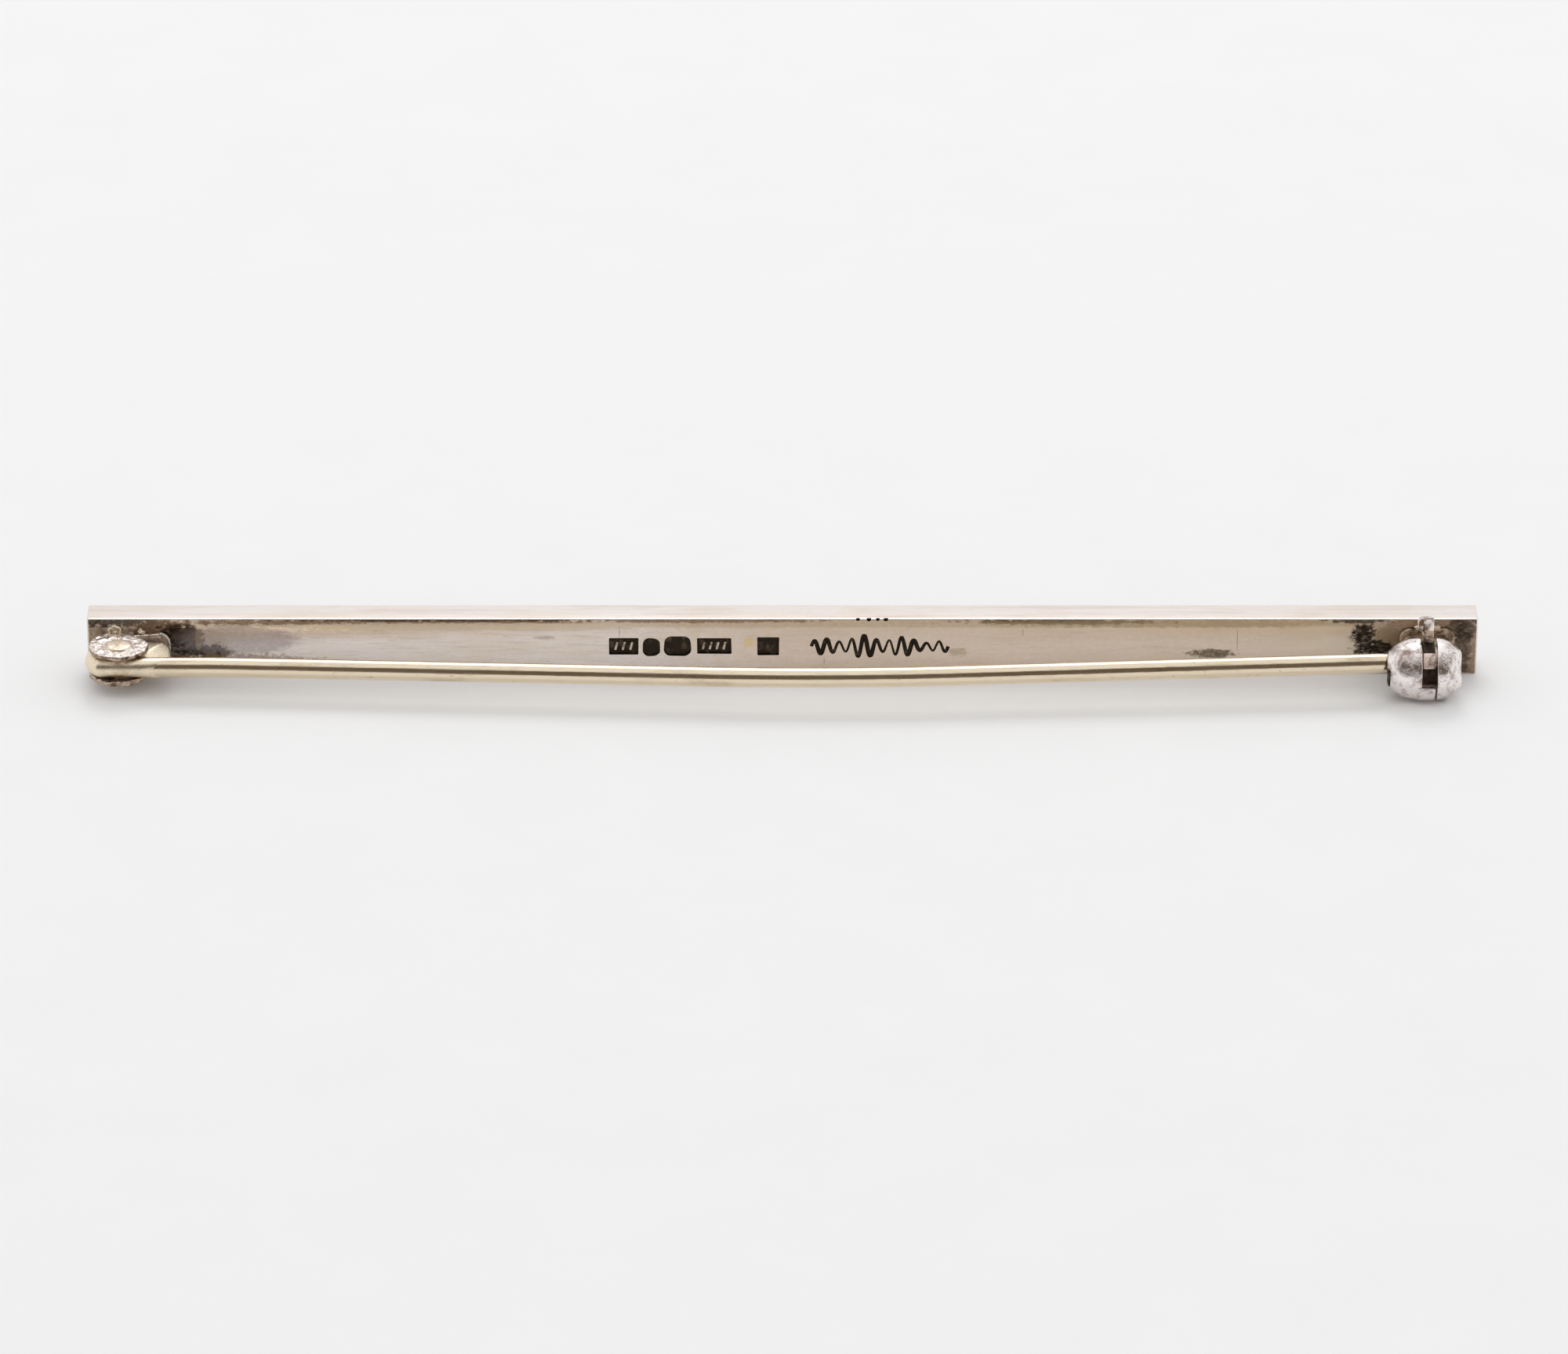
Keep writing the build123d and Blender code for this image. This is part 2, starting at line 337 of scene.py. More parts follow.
# tarnish on the bar's back: middle (x, z), half size (x, z), colour, strength, how ragged its rim is
STAINS = (
    ((20.0, 1.5), (26.0, 9.0), DULL_SILVER, 0.75, 0.6),
    ((0.0, 3.05), (90.0, 0.50), TAN, 0.45, 0.5),
    ((-31.6, 1.6), (3.6, 2.0), WARM_SILVER, 0.9, 1.5),
    ((-34.7, 1.4), (0.8, 2.2), BROWN, 0.9, 2.5),
    ((-33.2, 2.9), (2.6, 0.28), BLACK_BROWN, 0.85, 5.0),
    ((-31.2, 2.35), (1.8, 0.75), BROWN, 1.0, 3.0),
    ((-30.35, 1.7), (1.3, 1.2), BLACK_BROWN, 1.0, 3.6),
    ((-28.8, 1.15), (1.1, 0.5), BLACK_BROWN, 1.0, 3.0),
    ((-29.4, 1.9), (0.16, 0.6), TAN, 0.8, 1.5),
    ((-27.4, 1.9), (3.2, 0.8), PURPLE_GREY, 0.55, 1.0),
    ((-27.6, 0.85), (3.6, 0.28), BROWN, 0.7, 4.0),
    ((-22.0, 2.86), (9.0, 0.17), BROWN, 0.95, 4.5),
    ((-15.0, 2.88), (5.2, 0.16), BROWN, 1.0, 4.5),
    ((-16.5, 2.96), (7.0, 0.07), BLACK_BROWN, 0.75, 6.0),
    ((-16.0, 2.62), (9.0, 0.22), WARM_SILVER, 0.9, 3.0),
    ((-4.0, 2.94), (6.0, 0.10), BROWN, 0.9, 4.0),
    ((14.2, 2.88), (5.2, 0.15), OLIVE, 1.0, 3.5),
    ((13.2, 2.93), (3.6, 0.08), BLACK_BROWN, 0.7, 6.0),
    ((19.5, 2.80), (10.0, 0.24), TAN, 0.6, 3.0),
    ((21.6, 1.12), (1.15, 0.24), OLIVE, 1.0, 3.0),
    ((8.9, 1.2), (0.5, 0.25), TAN, 0.6, 4.0),
    ((-12.0, 2.0), (0.5, 0.1), BROWN, 0.4, 4.0),
    ((27.4, 1.5), (2.6, 1.2), WARM_SILVER, 0.9, 1.2),
    ((32.8, 1.5), (3.4, 2.3), BROWN, 0.9, 1.5),
    ((31.0, 1.7), (2.0, 0.95), TAN, 0.85, 3.5),
    ((33.6, 1.9), (0.6, 0.8), TAN, 0.75, 3.0),
    ((29.25, 1.95), (0.6, 0.95), BLACK_BROWN, 1.0, 4.0),
    ((30.1, 1.45), (0.6, 0.4), BLACK_BROWN, 1.0, 4.0),
    ((29.0, 2.92), (1.6, 0.12), BLACK_BROWN, 0.85, 4.0),
    ((34.2, 2.5), (0.9, 0.7), BLACK_BROWN, 0.7, 2.5),
    ((34.2, 1.3), (0.45, 1.6), BLACK_BROWN, 0.7, 3.0),
    ((-1.7, 1.75), (0.27, 0.32), YELLOW, 0.65, 1.5),
)
# fine upright scratches on the bar's back: x, lowest z, highest z
SCRATCHES = ((-8.2, 2.0, 2.7), (12.1, 2.1, 2.5), (22.9, 1.2, 2.5), (2.1, 0.5, 0.9))
SCRATCH_WIDTH = 0.044


def bar_silver():
    """Brushed silver with tarnish that gathers near the fittings and under the top edge, and a painted
    highlight along the back's top edge.
    """
    metal = Metal("brushed_bar_silver")
    brush = metal.noise(9.0, 5.0, 0.65, (0.05, 1.0, 1.0))
    cloud = metal.noise(0.45, 5.0, 0.6, (0.35, 1.0, 1.6))
    colour = metal.mix(metal.ramp(cloud, 0.42, 0.72, 0.0, 0.7), SILVER, WARM_SILVER)
    colour = metal.mix(metal.ramp(brush, 0.48, 0.8, 0.0, 0.5), colour, BRUSHED_BROWN)
    flecks = metal.noise(3.2, 6.0, 0.75, (0.35, 1.0, 1.3))
    colour = metal.mix(metal.ramp(flecks, 0.64, 0.74, 0.0, 0.45), colour, BROWN)
    speckle = metal.math("SUBTRACT", metal.noise(2.4, 8.0, 0.78, (0.7, 1.0, 1.1)), 0.5)
    grime = metal.ramp(metal.noise(6.0, 5.0, 0.75, (0.6, 1.0, 1.0)), 0.36, 0.58, 0.74, 1.0)
    depth = metal.add("ShaderNodeSeparateXYZ", {0: metal.place}, ACROSS)
    height = metal.add("ShaderNodeSeparateXYZ", {0: metal.place}, UP)
    facing_out = metal.ramp(depth, back + 0.04, back + 0.01)
    tarnish = 0.0
    for centre, half_size, stain, strength, ragged in STAINS:
        spot = metal.patch(centre, half_size, metal.product(speckle, ragged))
        share = metal.product(spot, strength, facing_out, grime)
        colour = metal.mix(share, colour, stain)
        tarnish = metal.math("MAXIMUM", tarnish, share)
    for x, low, high in SCRATCHES:
        line = metal.patch((x, (low + high) / 2), (SCRATCH_WIDTH / 2, (high - low) / 2), 0.0)
        colour = metal.mix(metal.product(line, 0.6, facing_out), colour, BROWN)
    streaks = metal.ramp(metal.noise(2.2, 4.0, 0.65, (0.05, 1.5, 1.0)), 0.5, 0.68, 0.0, 0.5)
    on_top = metal.ramp(height, bar_high.z - 0.02, bar_high.z - 0.005)
    colour = metal.mix(metal.product(streaks, on_top), colour, PINK_SILVER)
    # a painted highlight along the rubbed edge between the back and the top, which is also made less rough
    near_top = metal.ramp(height, bar_high.z - 0.062, bar_high.z - 0.045)
    near_back = metal.ramp(depth, back + 0.075, back + 0.06)
    rubbed_edge_highlight = metal.product(near_top, near_back)
    colour = metal.mix(rubbed_edge_highlight, colour, EDGE_HIGHLIGHT_SILVER)
    rough = metal.ramp(brush, 0.3, 0.7, 0.20, 0.32)
    rough = metal.math("ADD", rough, metal.product(tarnish, 0.2))
    rough = metal.math("SUBTRACT", rough, metal.product(rubbed_edge_highlight, 0.12))
    return metal.finish(colour, rough, brush, 0.004)


def worn_metal(
    name, light, dark, rough, spacing, depth, stretch=(1, 1, 1), dirt=(0.52, 0.75), cracked=0.0, flecked=0.0
):
    """Metal with clouds of a second colour a spacing apart, and a grain of a depth in millimetres.

    Rough is its lowest and highest roughness. Dirt is the range of cloud that turns dark. Cracks and flecks
    are dark too.
    """
    metal = Metal(name)
    cloud = metal.noise(1 / spacing, 6.0, 0.66, (stretch[0] ** 0.5, 1, 1))
    grain = metal.noise(11.0, 5.0, 0.7, stretch)
    colour = metal.mix(metal.ramp(cloud, *dirt), light, dark)
    colour = metal.mix(metal.ramp(grain, 0.52, 0.8, 0.0, 0.55), colour, dark)
    height = grain
    if flecked:
        flecks = metal.ramp(metal.noise(3.4, 4.0, 0.7, (0.6, 1, 1)), 0.63, 0.70, 0.0, flecked)
        colour = metal.mix(flecks, colour, dark)
    if cracked:
        lines = metal.product(metal.cracks(2.2, 0.022), metal.ramp(cloud, 0.4, 0.55))
        colour = metal.mix(metal.product(lines, cracked), colour, dark)
        height = metal.math("SUBTRACT", grain, metal.product(lines, 0.8))
    roughness = metal.ramp(metal.math("ADD", cloud, grain), 0.75, 1.3, rough[0], rough[1])
    return metal.finish(colour, roughness, height, depth)


# dark oxide for hollows and cuts, which also serves as painted shade and a painted dark reflection round the
# pin's entry into the ball
OXIDE_AND_SHADE_METAL = worn_metal(
    "oxide_and_painted_shade", rgb(0.035, 0.027, 0.02), rgb(0.17, 0.13, 0.09),
    rough=(0.35, 0.6), spacing=0.4, depth=0.03, dirt=(0.48, 0.74)
)
BAR_METAL = bar_silver()
STAMPED_METAL = worn_metal(
    "stamped_silver", rgb(0.62, 0.53, 0.43), rgb(0.12, 0.09, 0.06),
    rough=(0.3, 0.5), spacing=0.3, depth=0.01, dirt=(0.45, 0.65)
)
HAMMERED_METAL = worn_metal(
    "hammered_silver", rgb(0.80, 0.715, 0.66), rgb(0.24, 0.16, 0.125),
    rough=(0.22, 0.42), spacing=0.5, depth=0.016, dirt=(0.52, 0.76), cracked=0.75
)
LOWER_EAR_METAL = worn_metal(
    "brown_hammered_silver", rgb(0.78, 0.65, 0.56), rgb(0.20, 0.125, 0.09),
    rough=(0.28, 0.5), spacing=0.4, depth=0.02, dirt=(0.42, 0.66), cracked=0.8
)
# darker rim metal: tarnish with painted shade on the ears' upright rim faces, and also the tab's darker lower
# part
RIM_TARNISH_AND_SHADE_METAL = worn_metal(
    "tarnished_and_shaded_rim", rgb(0.60, 0.46, 0.36), rgb(0.13, 0.085, 0.06),
    rough=(0.3, 0.5), spacing=0.35, depth=0.02, dirt=(0.42, 0.66), cracked=0.6
)
RIVET_METAL = worn_metal(
    "rivet_metal", rgb(0.77, 0.67, 0.54), rgb(0.42, 0.30, 0.21),
    rough=(0.30, 0.5), spacing=0.5, depth=0.012, cracked=0.5
)
SOLDER_METAL = worn_metal(
    "solder", rgb(0.80, 0.68, 0.52), rgb(0.20, 0.13, 0.085),
    rough=(0.24, 0.45), spacing=0.35, depth=0.015
)
PIN_METAL = worn_metal(
    "nickel_silver", rgb(0.83, 0.71, 0.54), rgb(0.48, 0.36, 0.23),
    rough=(0.16, 0.26), spacing=1.2, depth=0.003, stretch=(0.06, 1, 1), dirt=(0.5, 0.8), flecked=0.8
)
EYE_METAL = worn_metal(
    "flattened_nickel_silver", rgb(0.84, 0.73, 0.56), rgb(0.50, 0.38, 0.25),
    rough=(0.24, 0.4), spacing=0.9, depth=0.012, dirt=(0.50, 0.80)
)
BALL_METAL = worn_metal(
    "catch_silver", rgb(0.93, 0.865, 0.845), rgb(0.25, 0.165, 0.13),
    rough=(0.10, 0.26), spacing=0.85, depth=0.012, dirt=(0.44, 0.76), cracked=0.8, flecked=0.7
)
TAB_METAL = worn_metal(
    "tab_silver", rgb(0.86, 0.76, 0.72), rgb(0.14, 0.09, 0.065),
    rough=(0.12, 0.28), spacing=0.6, depth=0.004, dirt=(0.44, 0.66)
)
ROTOR_METAL = worn_metal(
    "rotor_silver", rgb(0.84, 0.69, 0.61), rgb(0.22, 0.14, 0.11),
    rough=(0.40, 0.6), spacing=0.45, depth=0.02, dirt=(0.45, 0.68)
)
FOOT_METAL = worn_metal(
    "foot_silver", rgb(0.56, 0.44, 0.31), rgb(0.10, 0.068, 0.045),
    rough=(0.3, 0.55), spacing=0.5, depth=0.02, dirt=(0.42, 0.64)
)


# ---- bar

RECESS_DEPTH = 0.14
# how high a recess's cutter stands out of the bar's back
CUTTER_RISE = 0.3
# the bars left standing in a recess
STANDING_WIDTH, STANDING_TOP, STANDING_SLOPE = 0.11, -0.04, math.radians(-14)
# stamped recesses in the back: middle x, middle z, width, height, corner, number of raised bars inside
RECESSES = (
    (-7.99, 1.53, 1.50, 0.92, 0.06, 3),
    (-6.60, 1.48, 0.87, 1.00, 0.34, 0),
    (-5.28, 1.53, 1.38, 1.09, 0.40, 0),
    (-3.44, 1.55, 1.74, 0.87, 0.06, 4),
    (-0.71, 1.53, 1.10, 1.00, 0.05, 0),
)
WAVE_LEFT = 1.45
WAVE_LENGTH = 6.9
WAVE_TURNS = 11
WAVE_HEIGHT = 0.62
WAVE_GROOVE, WAVE_SWELL = 0.085, 0.03
# small nicks along the back's top edge: x
NICKS = (3.8, 4.35, 4.8, 5.2)
END_ROUND, EDGE_ROUND = 0.16, 0.07


def recess_cutter(x, z, width, height, corner, bars):
    """A shallow stamped recess, with slanting bars left standing in it."""
    outline = []
    for point in rounded_box(width, height, corner, 48):
        outline.append(point * (1 + 0.05 * noise.noise(Vector((3 * point.x, 3 * point.y, x)))))
    rows = [[Vector((p.x, p.y, h)) for p in outline] for h in (-RECESS_DEPTH, CUTTER_RISE)]
    cutter = as_object("recess", skin(rows, on_back(x, z)), OXIDE_AND_SHADE_METAL)
    standing = []
    for i in range(bars):
        across = (i - (bars - 1) / 2) * width / (bars + 1)
        slope = Matrix.Rotation(STANDING_SLOPE, 4, "Z")
        bar_points = rounded_box(STANDING_WIDTH, height * 0.5, 0.05, 16)
        rows = [[slope @ Vector((p.x, p.y, h)) for p in bar_points] for h in (-0.5, STANDING_TOP)]
        standing.append(as_object("standing", skin(rows, on_back(x + across, z)), STAMPED_METAL))
    if standing:
        carve(cutter, standing)
    return cutter


def wave_cutter():
    """A round-bottomed groove that runs to and fro in a wave, which swells and dies away."""
    route = []
    steps = WAVE_TURNS * 22
    for i in range(steps + 1):
        share = i / steps
        swell = 0.45 + 0.55 * math.sin(math.pi * (0.15 + 0.8 * share)) ** 2
        turn = 2 * math.pi * WAVE_TURNS * share
        x = WAVE_LEFT + WAVE_LENGTH * share
        z = bar_middle_z + WAVE_HEIGHT * swell * math.sin(turn) * (0.75 + 0.25 * math.sin(turn / 3.3))
        route.append(Vector((x, back, z)))
    rings = []
    for i, point in enumerate(route):
        along = (route[min(i + 1, steps)] - route[max(i - 1, 0)]).normalized()
        side = along.cross(Vector((0, 1, 0)))
        radius = WAVE_GROOVE + WAVE_SWELL * math.sin(6.1 * i / steps * math.pi)
        rings.append([point + side * p.x + Vector((0, p.y, 0)) for p in circle_points(radius, 10)])
    return as_object("wave", skin(rings), OXIDE_AND_SHADE_METAL)


def nick_cutter(x, radius):
    """A small round nick in the edge between the bar's back and its top."""
    rows = [[Vector((p.x, p.y, h)) for p in circle_points(radius, 10)] for h in (-0.09, 0.2)]
    return as_object("nick", skin(rows, on_back(x, bar_high.z - 0.02)), OXIDE_AND_SHADE_METAL)


def make_bar():
    """The bar, with stamped recesses, a groove, small nicks and a short seam in its back."""
    bm = block(bar_low, bar_high)
    upright = [e for e in bm.edges if abs(e.verts[0].co.z - e.verts[1].co.z) > 1 and e.verts[0].co.y < 0]
    bmesh.ops.bevel(bm, geom=upright, offset=END_ROUND, segments=6, profile=0.5, affect="EDGES")
    others = [e for e in bm.edges if e.calc_face_angle() > math.radians(60)]
    bmesh.ops.bevel(bm, geom=others, offset=EDGE_ROUND, segments=4, profile=0.5, affect="EDGES")
    bar = as_object("bar_body", bm, BAR_METAL, OXIDE_AND_SHADE_METAL)
    cutters = [recess_cutter(*recess) for recess in RECESSES]
    cutters.append(wave_cutter())
    cutters += [nick_cutter(x, 0.10 + 0.02 * (i % 2)) for i, x in enumerate(NICKS)]
    seam_low = (bar_low.x + 0.2, bar_high.y - 0.04, bar_high.z - 0.05)
    seam_high = (bar_low.x + 1.5, bar_high.y + 0.1, bar_high.z + 0.1)
    cutters.append(as_object("seam", block(seam_low, seam_high), OXIDE_AND_SHADE_METAL))
    carve(bar, cutters)
    complete(bar, "bar", "silver", "bar")


# ---- hinge

# the rivet was peened a little off its axis, and the ears sit off it too
HEAD_SHIFT, EAR_SHIFT = 0.23, 0.2
SHANK_RADIUS = 0.4
# one head of the rivet, from its middle outwards: height over the rivet's end, radius
RIVET_HEAD = (
    (0.0, 0.005), (0.012, 0.34), (0.0, 0.5), (-0.02, 0.6), (-0.05, 0.66), (-0.1, 0.68), (-0.15, 0.68)
)
EAR_RADIUS, EAR_CENTRE, EAR_HOLE = 1.5, 0.14, 0.41
EAR_ROOT_HALF = 0.85
PLATE_NARROW = 1.16
# the bead along the right half of the hinge plate's rim
RIM_HEIGHT, RIM_RADIUS = 0.22, 0.095
# how far a plate or a post goes into the bar's back
SUNK = 0.02
# a groove pressed into the ear round the rivet's head
GROOVE_RADIUS, GROOVE_WIDTH, GROOVE_DEPTH = 0.78, 0.05, 0.06


def ear_outline(seed):
    """An ear seen from above: a hammered disc round the rivet, with a straight root on the bar."""
    root_y = back - rivet.y
    points = []
    for i in range(144):
        turn = 2 * math.pi * i / 144
        c, s = math.cos(turn), math.sin(turn)
        reach = EAR_CENTRE * s + math.sqrt(EAR_RADIUS**2 - (EAR_CENTRE * c) ** 2)
        if s > 0:
            root = min(EAR_ROOT_HALF / max(abs(c), 1e-6), root_y / s)
            reach = min(max(reach, root), root_y / s)
        rough = noise.noise(Vector((2.2 * c, 2.2 * s, seed))) * 0.055
        rough += noise.noise(Vector((7 * c, 7 * s, seed + 5))) * 0.025
        ragged = rough - 0.01 if s < 0.75 else 0.0
        points.append(Vector((c, s)) * (reach + ragged) + Vector((EAR_SHIFT * min(1.0, 1.2 - s), 0)))
    return points


def make_ears():
    """Two hammered ears, one above and one below the pin's eye."""
    for name, seed, metal in (("upper_ear", 3.0, HAMMERED_METAL), ("lower_ear", 8.0, LOWER_EAR_METAL)):
        low, high = box_mm(name)
        outline = ear_outline(seed)
        rows = plate(outline, low.z, high.z, edge=0.09, hole=EAR_HOLE, rings=26)
        bm = skin(rows, at(rivet.x, rivet.y, 0), closed=True)
        outside = Vector((0, 0, 1 if name == "upper_ear" else -1))
        dents(bm, spacing=0.42, depth=0.09, seed=seed, direction=outside)
        for vertex in bm.verts:
            from_rivet = math.hypot(vertex.co.x - rivet.x - HEAD_SHIFT, vertex.co.y - rivet.y)
            off_groove = (from_rivet - GROOVE_RADIUS) / GROOVE_WIDTH
            vertex.co -= outside * GROOVE_DEPTH * math.exp(-(off_groove**2))
        lumps(bm, size=0.16, height=0.03, seed=seed)
        bm.normal_update()
        # upright rim faces take the darker rim metal: tarnish, and painted shade on the sides that face away
        # from the overhead light
        for face in bm.faces:
            face.material_index = int(abs(face.normal.z) < 0.55)
        made = as_object(name + "_hammered", bm, metal, RIM_TARNISH_AND_SHADE_METAL)
        complete(made, "bar", "hammered_silver", name, sharp=60)


def make_rivet():
    """The rivet, with a peened head at each end."""
    low, high = box_mm("hinge_rivet")
    profile = [(high.z + rise, radius) for rise, radius in RIVET_HEAD]
    profile += [(high.z - 0.16, SHANK_RADIUS), (low.z + 0.16, SHANK_RADIUS)]
    profile += [(low.z - rise, radius) for rise, radius in reversed(RIVET_HEAD)]
    rings = []
    for height, radius in profile:
        in_head = radius > SHANK_RADIUS or not low.z < height < high.z
        shift = HEAD_SHIFT if in_head else 0.0
        rings.append([Vector((p.x + shift, p.y, height)) for p in circle_points(radius, 64)])
    bm = skin(rings, at(rivet.x, rivet.y, 0))
    lumps(bm, size=0.3, height=0.03, seed=4.0)
    made = as_object("rivet", bm, RIVET_METAL)
    complete(made, "bar", "rivet_metal", "hinge_rivet", sharp=50)


def bead(radius, squash, seed, place):
    """A lump of solder."""
    bm = bmesh.new()
    bmesh.ops.create_icosphere(bm, subdivisions=4, radius=radius)
    bmesh.ops.transform(bm, matrix=place @ Matrix.Diagonal((*squash, 1)), verts=bm.verts)
    lumps(bm, size=radius * 0.8, height=radius * 0.35, seed=seed)
    return bm


def make_rim(route, height, radius):
    """A round bead along an open route that lies flat, at a height above it."""
    route = sorted(route, key=lambda p: math.atan2(p.y, p.x))
    rings = []
    last = len(route) - 1
    for i, point in enumerate(route):
        along = (route[min(i + 1, last)] - route[max(i - 1, 0)]).normalized()
        out = Vector((along.y, -along.x))
        size = radius * (0.5 if i in (0, last) else 1.0)
        ring = [(point + out * p.x * size, height + p.y * size) for p in circle_points(1.0, 16)]
        rings.append([Vector((*flat, level)) for flat, level in ring])
    return skin(rings)


def make_hinge_base():
    """The base plate between the ears, and the beads of solder that hold the hinge to the bar.

    The plate's left half is narrow enough to stay between the ears.
    """
    low, high = box_mm("hinge_base")
    middle = (low + high) / 2
    size = high - low
    outline = rounded_box(size.x, size.z, corner=0.5, count=128)
    for point in outline:
        if point.x < 0:
            point.y *= PLATE_NARROW / size.z
    rows = plate(outline, -SUNK, size.y, edge=0.12, rings=10)
    bm = skin(rows, on_back(middle.x, middle.z))
    lumps(bm, size=0.5, height=0.03, seed=2.0)
    complete(as_object("hinge_plate", bm, HAMMERED_METAL), "bar", "hammered_silver", "hinge_base", sharp=60)
    rim = make_rim([p for p in outline if p.x > 0 and p.y > -0.5], RIM_HEIGHT, RIM_RADIUS)
    bmesh.ops.transform(rim, matrix=on_back(middle.x, middle.z), verts=rim.verts)
    lumps(rim, size=0.4, height=0.04, seed=3.0)
    complete(as_object("hinge_rim", rim, HAMMERED_METAL), "bar", "hammered_silver", sharp=60)
    upper_top = box_mm("upper_ear")[1].z
    solder_low, solder_high = box_mm("hinge_solder")
    large = bead(0.43, (1.0, 0.85, 0.9), 2.0, at(solder_low.x + 0.46, back + 0.02, upper_top - 0.02))
    small = bead(0.19, (1.1, 0.9, 0.9), 5.0, at(solder_high.x - 0.2, back, high.z + 0.03))
    complete(as_object("solder_bead", large, SOLDER_METAL), "bar", "solder", "hinge_solder")
    complete(as_object("solder_drop", small, SOLDER_METAL), "bar", "solder")


# ---- pin

# the wire's route: distance along the bar from the rivet, and reach out of the bar's back
PIN_ROUTE = ((0.0, 2.5), (5.0, 2.52), (36.0, 4.28), (66.65, 2.47))
PIN_BENDS = (60.0, 110.0)
# how far the wire climbs for each millimetre along the bar
PIN_RISE = 0.0047
PIN_RADIUS = 0.5
# where the round wire starts inside the eye and where its point starts, along the bar from the rivet
WIRE_START, POINT_START = 1.3, 63.75
TIP_RADIUS = 0.06
EYE_RADIUS, EYE_HOLE, EYE_FRONT = 1.48, 0.45, -1.25
# the round corners of the eye's tail, and of its left front
TAIL_CORNERS, TAIL_RADIUS = (Vector((2.42, 0.82)), Vector((2.42, -0.75))), 0.35
LEFT_CORNER, LEFT_RADIUS = Vector((-0.55, -0.75)), 0.5
# the facet where the wire's end was ground off: two points on its upper edge, from the rivet, and its slope
FACET_START, FACET_END, FACET_SLOPE = Vector((1.36, -0.45)), Vector((2.36, 1.19)), 0.55


def bent_route(corners, bends, spacing):
    """Points along straight runs joined by arcs of the bends' radii."""
    points = [corners[0]]
    for before, corner, after, radius in zip(corners, corners[1:], corners[2:], bends):
        arriving = (corner - before).normalized()
        leaving = (after - corner).normalized()
        turn = arriving.angle_signed(leaving)
        cut = radius * math.tan(abs(turn) / 2)
        start = corner - arriving * cut
        runs = max(1, round((start - points[-1]).length / spacing))
        points += [points[-1].lerp(start, (k + 1) / runs) for k in range(runs)]
        steps = 16
        centre = start + Vector((arriving.y, -arriving.x)) * math.copysign(radius, turn)
        for k in range(1, steps + 1):
            spin = Matrix.Rotation(-turn * k / steps, 2)
            points.append(centre + spin @ (start - centre))
    runs = max(1, round((corners[-1] - points[-1]).length / spacing))
    points += [points[-1].lerp(corners[-1], (k + 1) / runs) for k in range(runs)]
    return points


def pin_centres():
    """The wire's centreline in the row frame."""
    corners = [Vector(corner) for corner in PIN_ROUTE]
    flat = bent_route(corners, PIN_BENDS, 0.8)
    return [Vector((rivet.x + along, back - reach, rivet.z + PIN_RISE * along)) for along, reach in flat]


def make_wire():
    """The drawn wire, with a ground point. Its eye end starts inside the flattened eye."""
    centres = pin_centres()
    rings = []
    last = len(centres) - 1
    for i, centre in enumerate(centres):
        along = (centres[min(i + 1, last)] - centres[max(i - 1, 0)]).normalized()
        side = along.cross(Vector((0, 0, 1))).normalized()
        up = side.cross(along)
        distance = centre.x - rivet.x
        if distance < WIRE_START:
            continue
        share = max(0.0, (distance - POINT_START) / (PIN_ROUTE[-1][0] - POINT_START))
        radius = PIN_RADIUS + (TIP_RADIUS - PIN_RADIUS) * share
        rings.append([centre + side * p.x + up * p.y for p in circle_points(radius, 40)])
    return skin(rings)


def eye_outline():
    """The flattened eye seen from above: a disc round the rivet drawn out to a tail beside the wire."""
    samples = [p for p in circle_points(EYE_RADIUS, 160) if p.y > EYE_FRONT]
    for centre in TAIL_CORNERS:
        samples += [centre + p for p in circle_points(TAIL_RADIUS, 48)]
    samples += [Vector((LEFT_CORNER.x, EYE_FRONT)), Vector((2.0, EYE_FRONT))]
    samples += [LEFT_CORNER + p for p in circle_points(LEFT_RADIUS, 48)]
    hull = [samples[i] for i in convex_order(samples)]
    return even_steps(hull, 160)


def convex_order(points):
    """Indices of the points on the convex hull, anticlockwise."""
    order = convex_hull_2d(points)
    area = 0.0
    for a, b in zip(order, order[1:] + order[:1]):
        area += points[a].x * points[b].y - points[b].x * points[a].y
    return order if area > 0 else order[::-1]


def even_steps(outline, count):
    """The same outline with evenly spaced points."""
    ends = outline[1:] + outline[:1]
    lengths = [(b - a).length for a, b in zip(outline, ends)]
    total = sum(lengths)
    points = []
    index, passed = 0, 0.0
    for k in range(count):
        wanted = total * k / count
        while passed + lengths[index] < wanted:
            passed += lengths[index]
            index += 1
        share = (wanted - passed) / lengths[index]
        points.append(outline[index].lerp(ends[index], share))
    return points


def eye_edge(point):
    """The eye's edge radius: round as the wire in front and at its left, and nearly square behind."""
    squareness = min(1.0, max(0.0, 0.5 + 0.9 * point.y + 0.45 * point.x))
    return 0.498 - 0.36 * squareness


